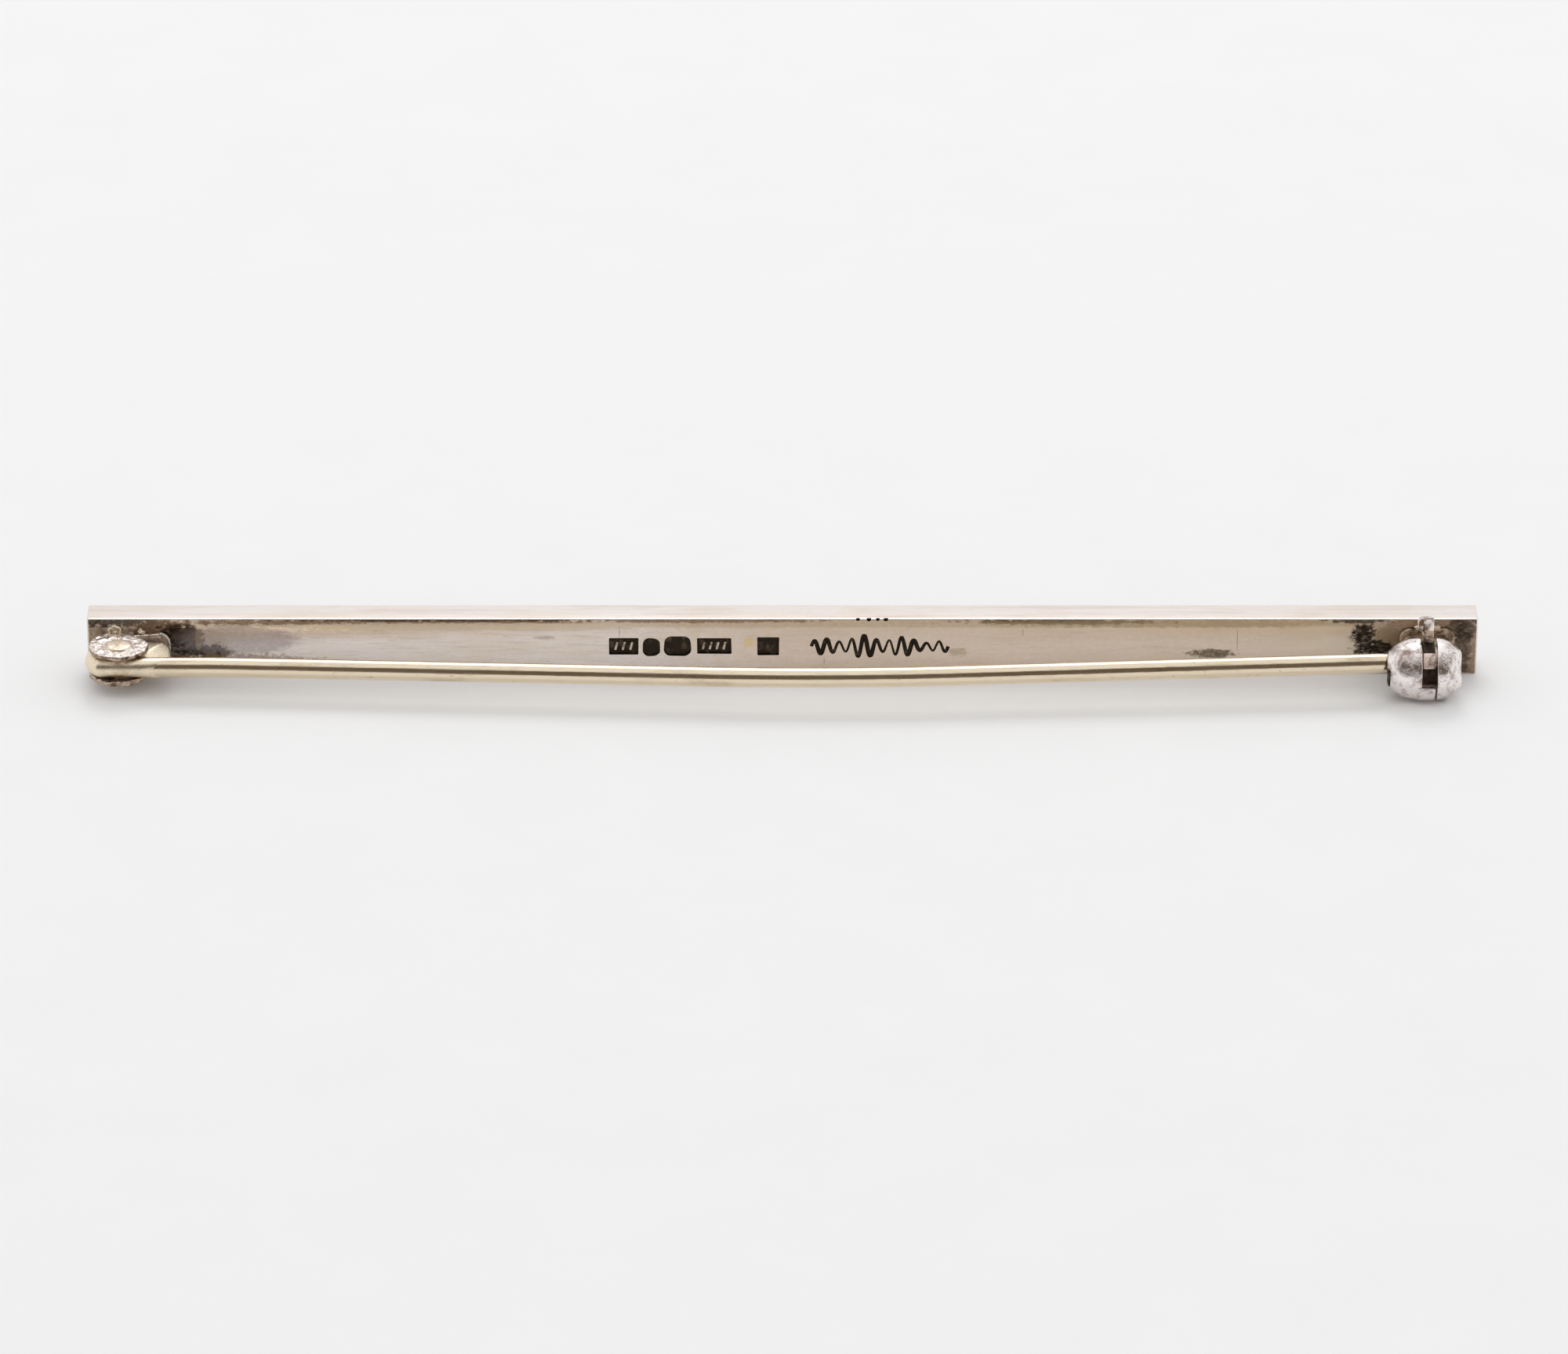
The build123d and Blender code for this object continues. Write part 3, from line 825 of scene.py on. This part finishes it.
def make_pin():
    """The pin: its flattened eye, with a slanting facet where the wire's end was ground off, and its wire."""
    bottom, top = rivet.z - PIN_RADIUS, rivet.z + PIN_RADIUS
    rows = plate(eye_outline(), bottom, top, eye_edge, hole=EYE_HOLE, rings=26, edge_steps=10)
    bm = skin(rows, at(rivet.x, rivet.y, 0), closed=True)
    along = (FACET_END - FACET_START).normalized()
    outward = Vector((along.y, -along.x))
    for vertex in bm.verts:
        from_rivet = vertex.co - rivet
        beyond = (from_rivet.xy - FACET_START).dot(outward)
        behind_wire = min(1.0, max(0.0, (from_rivet.y + 0.75) / 0.4))
        if from_rivet.z > 0 and beyond > 0:
            vertex.co.z -= FACET_SLOPE * beyond * behind_wire * from_rivet.z / PIN_RADIUS
    eye = as_object("pin_eye", bm, EYE_METAL)
    wire = as_object("pin_wire", make_wire(), PIN_METAL)
    complete(wire, "pin", "nickel_silver", "pin_stem", sharp=50)
    complete(eye, "pin", "nickel_silver", sharp=50)


# ---- catch

BALL_RADIUS = 1.58
BALL_HALF_LENGTH = 1.875
# the ball's curve would close this far from its middle, and its right half is the fuller one
CURVE_REACH, LEFT_FULLNESS, RIGHT_FULLNESS = 2.05, 2.4, 3.2
SHELL_BORE = 1.16
BARREL_HALF_LENGTH = 1.12
ENTRY_RADIUS = 0.62
SHELL_MOUTH = 1.45
SHELL_MOUTH_SHIFT = 0.1
ROTOR_MOUTH = 1.08
# the left shell's rim and the ring's two sides are a little off their CAD places
LEFT_RIM_SHIFT, RING_LEFT_SHIFT, RING_RIGHT_SHIFT = -0.09, -0.06, -0.07
RING_INNER, RING_OUTER = 1.12, 1.45
BARREL_INNER, BARREL_OUTER = 0.9, 1.12
# over the catch's axis: above this height the ring is darker, and below this one the thumb tab is
RING_DARK_ABOVE, TAB_DARK_BELOW = 1.22, 2.02
# the left shell is painted dark round the pin's entry, which is left of this X and near this height: painted
# shade in the entry hole and a painted dark reflection round it
ENTRY_X, ENTRY_Z, ENTRY_HALF_HEIGHT = -1.73, -0.2, 0.55
# the strip under the rotor's mouth: reach from the catch's axis, thickness, start and sweep round the axis
BRIDGE_REACH, BRIDGE_THICKNESS = 1.525, 0.13
BRIDGE_LEFT_SHIFT, BRIDGE_RIGHT_SHIFT = -0.28, -0.10
BRIDGE_START, BRIDGE_SWEEP = math.radians(194), math.radians(44)
FOOT_THICKNESS, POST_SIZE, RUN_RADIUS = 0.25, (2.2, 1.2), 0.22
# a hand-filed flat on the ball: the way it faces, and its distance from the middle
FLAT_FACING, FLAT_REACH = Vector((0.82, -0.48, 0.31)), 1.82
# the thumb tab stands out from the catch's axis, a little past upright
TAB_TURN = math.radians(95)
TAB_OUT = Vector((0, -math.cos(TAB_TURN), math.sin(TAB_TURN)))
TAB_TOP, TAB_FOOT = 2.76, 1.42


def ball_radius(along):
    """The catch's outer radius at a distance along X from its middle."""
    fullness = RIGHT_FULLNESS if along > 0 else LEFT_FULLNESS
    return BALL_RADIUS * math.sqrt(1 - (abs(along) / CURVE_REACH) ** fullness)


def shell_profile(start, side):
    """From the slot's rim to the shell's outer end: (distance along X, radius), with both rims rounded."""
    rim, end_round = 0.07, 0.16
    profile = []
    for k in range(7):
        angle = math.radians(15 * k)
        along = start + side * rim * (1 - math.sin(angle))
        profile.append((along, ball_radius(along) - rim * (1 - math.cos(angle))))
    profile = profile[::-1]
    stop = side * (BALL_HALF_LENGTH - end_round)
    reach = stop - profile[-1][0]
    body = [profile[-1][0] + reach * k / 26 for k in range(1, 27)]
    profile += [(along, ball_radius(along)) for along in body]
    for k in range(1, 7):
        angle = math.radians(15 * k)
        radius = ball_radius(stop) - end_round * 1.3 * (1 - math.cos(angle)) - 0.05 * k / 6
        profile.append((stop + side * end_round * math.sin(angle), radius))
    profile.append((side * BALL_HALF_LENGTH, 0.02))
    return profile


def ball_dent(point):
    """A flat and slight unevenness of a hand-finished ball, as a share of its radius."""
    flattest = min(1.0, FLAT_REACH / max(point.dot(FLAT_FACING), 0.01))
    broad = noise.noise(point * 0.9 + Vector((4.0, 1.0, 7.0))) * 0.022
    fine = noise.noise(point * 2.6 + Vector((1.0, 9.0, 3.0))) * 0.011
    return min(flattest - 1, broad + fine - 0.008)


def shell_skin(start, side):
    """One shell of the ball, before it is bored, from the slot's rim outwards."""
    rings = []
    for along, radius in shell_profile(start, side):
        points = [Vector((along, p.x, p.y)) for p in circle_points(radius, 96)]
        rings.append([point * (1 + ball_dent(point)) for point in points])
    return skin(rings, Matrix.Translation(catch))


def drum(x_start, x_end, y, z, radius):
    """A cylinder along X, used only to cut with."""
    rings = [[Vector((x, y + p.x, z + p.y)) for p in circle_points(radius, 96)] for x in (x_start, x_end)]
    return skin(rings)


def mouth_block(x_start, x_end):
    """A cutter for the shells' mouth, which faces down."""
    middle = catch.y + SHELL_MOUTH_SHIFT
    low = (x_start, middle - SHELL_MOUTH / 2, catch.z - 2 * BALL_RADIUS)
    return block(low, (x_end, middle + SHELL_MOUTH / 2, catch.z))


def make_ball():
    """The ball's two shells, bored for the rotor. The left one lets the pin's point in."""
    left_rim = box_mm("ball_shell_left")[1].x - catch.x + LEFT_RIM_SHIFT
    right_rim = box_mm("ball_shell_right")[0].x - catch.x
    bore_end = BARREL_HALF_LENGTH + 0.04
    left_skin = shell_skin(left_rim, -1)
    # painted shade and a painted dark reflection round the pin's entry
    for face in left_skin.faces:
        spot = face.calc_center_median() - catch
        near_entry = spot.x < ENTRY_X and spot.y < 0 and abs(spot.z - ENTRY_Z) < ENTRY_HALF_HEIGHT
        face.material_index = int(near_entry)
    left = as_object("ball_left", left_skin, BALL_METAL, OXIDE_AND_SHADE_METAL)
    right = as_object("ball_right", shell_skin(right_rim, 1), BALL_METAL, OXIDE_AND_SHADE_METAL)
    at_mouth = min(pin_centres(), key=lambda p: abs(p.x - (catch.x - BALL_HALF_LENGTH)))
    far = 2 * BALL_HALF_LENGTH
    left_cuts = [
        drum(catch.x - bore_end, catch.x + far, catch.y, catch.z, SHELL_BORE),
        drum(catch.x - far, catch.x, at_mouth.y, at_mouth.z, ENTRY_RADIUS),
        mouth_block(catch.x - far, catch.x + far),
    ]
    right_cuts = [
        drum(catch.x - far, catch.x + bore_end, catch.y, catch.z, SHELL_BORE),
        mouth_block(catch.x - far, catch.x + bore_end),
    ]
    for shell, cuts, node in ((left, left_cuts, "ball_shell_left"), (right, right_cuts, "ball_shell_right")):
        carve(shell, [as_object("cutter", bm, OXIDE_AND_SHADE_METAL) for bm in cuts])
        complete(shell, "bar", "catch_silver", node, sharp=45)


def open_ring(x_start, x_end, inner, outer, edge):
    """A ring along X round the catch's axis, with the rotor's mouth facing -Y and all its edges rounded."""
    half_mouth = math.asin(ROTOR_MOUTH / 2 / ((inner + outer) / 2))
    middle = Vector(((x_start + x_end) / 2, (inner + outer) / 2))
    outline = rounded_box(x_end - x_start, outer - inner, edge, 32)
    steps = 120
    rings = []
    caps = [(0.0, 0.75), (0.35, 0.93), (1.0, 1.0)]
    angles = [(math.pi + half_mouth + share * edge / outer, size) for share, size in caps]
    sweep = 2 * (math.pi - half_mouth - edge / outer)
    begin = angles[-1][0]
    angles += [(begin + sweep * k / steps, 1.0) for k in range(1, steps)]
    angles += [(3 * math.pi - half_mouth - share * edge / outer, size) for share, size in reversed(caps)]
    for angle, size in angles:
        ring = []
        for point in outline:
            along = middle.x + point.x * size
            radius = middle.y + point.y * size
            ring.append(Vector((along, radius * math.cos(angle), radius * math.sin(angle))))
        rings.append(ring)
    return skin(rings, Matrix.Translation((0, catch.y, catch.z)))


def make_bridge():
    """The bright strip that closes the slot between the shells, under the rotor's mouth."""
    left = box_mm("ball_shell_left")[1].x + BRIDGE_LEFT_SHIFT
    right = box_mm("ball_shell_right")[0].x + BRIDGE_RIGHT_SHIFT
    rings = []
    steps = 20
    for k in range(steps + 1):
        turn = BRIDGE_START + BRIDGE_SWEEP * k / steps
        size = 0.8 if k in (0, steps) else 1.0
        ring = []
        for point in rounded_box((right - left) * size, BRIDGE_THICKNESS * size, 0.03, 24):
            radius = BRIDGE_REACH + point.y + 0.012 * noise.noise(Vector((5 * point.x, 7 * turn, 2.0)))
            across = (left + right) / 2 + point.x
            ring.append(Vector((across, radius * math.cos(turn), radius * math.sin(turn))))
        rings.append(ring)
    bridge = as_object("slot_bridge", skin(rings, Matrix.Translation((0, catch.y, catch.z))), BALL_METAL)
    complete(bridge, "bar", "catch_silver", sharp=50)


def make_rotor():
    """The rotor: its barrel inside the shells, and its ring, which shows in the slot between them."""
    low, high = box_mm("rotor_barrel")
    barrel = open_ring(low.x, high.x, BARREL_INNER, BARREL_OUTER, edge=0.04)
    complete(as_object("barrel", barrel, ROTOR_METAL), "rotor", "rotor_silver", "rotor_barrel", sharp=50)
    low, high = box_mm("rotor_ring")
    start, end = low.x + RING_LEFT_SHIFT, high.x + RING_RIGHT_SHIFT
    ring = open_ring(start, end, RING_INNER, RING_OUTER, edge=0.05)
    lumps(ring, size=0.5, height=0.02, seed=6.0)
    for face in ring.faces:
        face.material_index = int(face.calc_center_median().z > catch.z + RING_DARK_ABOVE)
    made = as_object("ring", ring, ROTOR_METAL, OXIDE_AND_SHADE_METAL)
    complete(made, "rotor", "rotor_silver", "rotor_ring", sharp=50)


def strip(path, depth, corner):
    """A strip swept along a path of (x, distance from the catch's axis, half thickness) at the tab's turn."""
    sideways = Vector((1, 0, 0)).cross(TAB_OUT)
    rings = []
    last = len(path) - 1
    for i, (x, reach, half) in enumerate(path):
        heading = Vector(path[min(i + 1, last)][:2]) - Vector(path[max(i - 1, 0)][:2])
        across = Vector((heading.y, -heading.x)).normalized()
        ring = []
        for point in rounded_box(2 * half, depth, min(corner, half * 0.8), 24):
            step = across * point.x
            ring.append(Vector((x + step.x, 0, 0)) + TAB_OUT * (reach + step.y) + sideways * point.y)
        rings.append(ring)
    return skin(rings, Matrix.Translation((0, catch.y, catch.z)))


def make_tab():
    """The thumb tab: a strip that stands up from the ring, and a thin leaf that curls over to its left."""
    leg_left = box_mm("rotor_ring")[0].x
    leg_right = box_mm("thumb_tab")[1].x
    leg_middle = (leg_left + leg_right) / 2 - 0.07
    half = (leg_right - leg_left) / 2 - 0.05
    straight = TAB_TOP - 0.04 - TAB_FOOT
    leg_path = [(leg_middle, TAB_FOOT + straight * k / 10, half) for k in range(11)]
    leg_path += [(leg_middle, TAB_TOP - 0.01, half - 0.04), (leg_middle, TAB_TOP, half - 0.09)]
    leg = strip(leg_path, depth=0.25, corner=0.05)
    lumps(leg, size=0.3, height=0.02, seed=2.0)
    for face in leg.faces:
        face.material_index = int(face.calc_center_median().z < catch.z + TAB_DARK_BELOW)
    left = leg_middle - half
    # the leaf's middle line: distance from the leg's left side, drop below the top
    curl = ((0.15, 0.10), (0.03, 0.05), (-0.08, 0.04), (-0.18, 0.09), (-0.25, 0.20), (-0.27, 0.34),
            (-0.25, 0.48), (-0.19, 0.60), (-0.10, 0.68), (0.02, 0.72))
    leaf = strip([(left + across, TAB_TOP - drop, 0.04) for across, drop in curl], depth=0.30, corner=0.04)
    complete(as_object("tab", leg, TAB_METAL, RIM_TARNISH_AND_SHADE_METAL), "rotor", "rotor_silver", "thumb_tab", sharp=60)
    complete(as_object("tab_leaf", leaf, TAB_METAL), "rotor", "rotor_silver", sharp=60)
    drop_place = Vector((left + 0.02, catch.y, catch.z)) + TAB_OUT * (TAB_TOP - 0.86)
    drop = bead(0.11, (0.8, 1.2, 1.1), 5.0, Matrix.Translation(drop_place))
    complete(as_object("tab_solder", drop, SOLDER_METAL), "rotor", "solder")


def make_foot():
    """The catch's foot and post, and the solder along the foot."""
    low, high = box_mm("catch_base")
    middle = (low + high) / 2
    outline = rounded_box(high.x - low.x, high.z - low.z, corner=0.5)
    foot = skin(plate(outline, -SUNK, FOOT_THICKNESS, edge=0.1), on_back(middle.x, middle.z))
    lumps(foot, size=0.4, height=0.04, seed=7.0)
    made = as_object("catch_foot", foot, FOOT_METAL)
    complete(made, "bar", "catch_silver", "catch_base", sharp=60)
    post_outline = rounded_box(*POST_SIZE, corner=0.3)
    # the post spreads towards its foot: height over the bar's back, size
    spread = [(0.2, 1.12), (0.3, 1.03), (0.42, 1.0), (back - low.y - 0.02, 1.0)]
    rows = [[Vector((p.x * size, p.y * size, h)) for p in post_outline] for h, size in spread]
    post = as_object("catch_post", skin(rows, on_back(middle.x, catch.z)), FOOT_METAL)
    complete(post, "bar", "catch_silver", sharp=50)
    low, high = box_mm("catch_solder")
    squash = ((high.x - low.x) / 2 / RUN_RADIUS, 1.0, 0.8)
    run = bead(RUN_RADIUS, squash, 9.0, at((low.x + high.x) / 2, back + 0.01, low.z))
    complete(as_object("foot_solder", run, SOLDER_METAL), "bar", "solder", "catch_solder")


make_bar()
make_ears()
make_rivet()
make_hinge_base()
make_pin()
make_ball()
make_bridge()
make_rotor()
make_tab()
make_foot()


# ---- floor, light and camera

# the floor and the lamp are placed and sized in metres
FLOOR_HALF_SIZE = 3.0
LAMP_PLACE, LAMP_SIZE, LAMP_POWER = Vector((0.0, 0.40, 0.52)), 0.28, 0.76
FLOOR_PALE, FLOOR_PALEST = rgb(0.885, 0.885, 0.885), rgb(0.895, 0.895, 0.895)
CAMERA_ELEVATION = math.radians(25)
CAMERA_DISTANCE = 420 * MM
CAMERA_AIM = Vector((0.08, back, -0.175)) * MM
VIEW_WIDTH = 79.1 * MM
# the dim patch that metal mirrors, in front of the bar's back
PATCH_ELEVATION = math.radians(26)
PATCH_HALF_WIDTH = math.radians(60)
PATCH_HALF_HEIGHT = math.radians(27)
SKY = rgb(0.868, 0.868, 0.868)
SKY_MIRRORED = rgb(0.93, 0.93, 0.93)
SKY_DIM = rgb(0.12, 0.095, 0.07)


def make_floor():
    """A plain pale floor."""
    bm = bmesh.new()
    bmesh.ops.create_grid(bm, x_segments=1, y_segments=1, size=FLOOR_HALF_SIZE)
    paper = Metal("pale_paper", metallic=0.0)
    fibre = paper.noise(0.15, 3.0)
    tone = paper.mix(paper.ramp(fibre, 0.3, 0.7), FLOOR_PALE, FLOOR_PALEST)
    paper.shader.inputs["Specular IOR Level"].default_value = 0.1
    paper.finish(tone, paper.ramp(fibre, 0.3, 0.7, 0.85, 0.95))
    floor = as_object("floor", bm, paper.material)


def make_world():
    """Soft white light all round. Metal also mirrors a dim patch low in front, where a camera would stand."""
    world = bpy.data.worlds.new("studio")
    bpy.context.scene.world = world
    world.use_nodes = True
    nodes = Nodes(world.node_tree)
    towards = {"Vector": nodes.add("ShaderNodeTexCoord", {}, "Generated"), "Angle": PATCH_ELEVATION}
    level = nodes.add("ShaderNodeVectorRotate", towards, rotation_type="X_AXIS")
    half = (1 / math.sin(PATCH_HALF_WIDTH), 0, 1 / math.sin(PATCH_HALF_HEIGHT))
    inside = nodes.ramp(nodes.length(nodes.vector("MULTIPLY", level, half)), 1.08, 0.92)
    in_front = nodes.math("LESS_THAN", nodes.add("ShaderNodeSeparateXYZ", {0: level}, ACROSS), 0.0)
    path = nodes.tree.nodes.new("ShaderNodeLightPath").outputs
    direct = nodes.math("LESS_THAN", path["Diffuse Depth"], 0.5)
    mirrored = nodes.product(path["Is Glossy Ray"], direct)
    around = nodes.mix(mirrored, SKY, SKY_MIRRORED)
    colour = nodes.mix(nodes.product(inside, in_front, mirrored), around, SKY_DIM)
    nodes.tree.links.new(colour, nodes.tree.nodes["Background"].inputs["Color"])


def make_lamp():
    """A soft square lamp above and behind the bar, aimed at it."""
    data = bpy.data.lights.new("overhead", "AREA")
    data.size = LAMP_SIZE
    data.energy = LAMP_POWER
    lamp = bpy.data.objects.new("overhead", data)
    lamp.location = LAMP_PLACE
    lamp.rotation_euler = (-LAMP_PLACE).to_track_quat("-Z", "Y").to_euler()
    bpy.context.scene.collection.objects.link(lamp)


def make_camera():
    """The camera, a little above the table in front of the bar's back."""
    data = bpy.data.cameras.new("camera")
    data.angle = 2 * math.atan(VIEW_WIDTH / 2 / CAMERA_DISTANCE)
    data.clip_start = 0.01
    camera = bpy.data.objects.new("camera", data)
    towards = Vector((0, -math.cos(CAMERA_ELEVATION), math.sin(CAMERA_ELEVATION)))
    camera.location = CAMERA_AIM + towards * CAMERA_DISTANCE
    camera.rotation_euler = (-towards).to_track_quat("-Z", "Y").to_euler()
    bpy.context.scene.collection.objects.link(camera)
    bpy.context.scene.camera = camera


make_floor()
make_world()
make_lamp()
make_camera()
bpy.context.scene.view_settings.view_transform = "Standard"
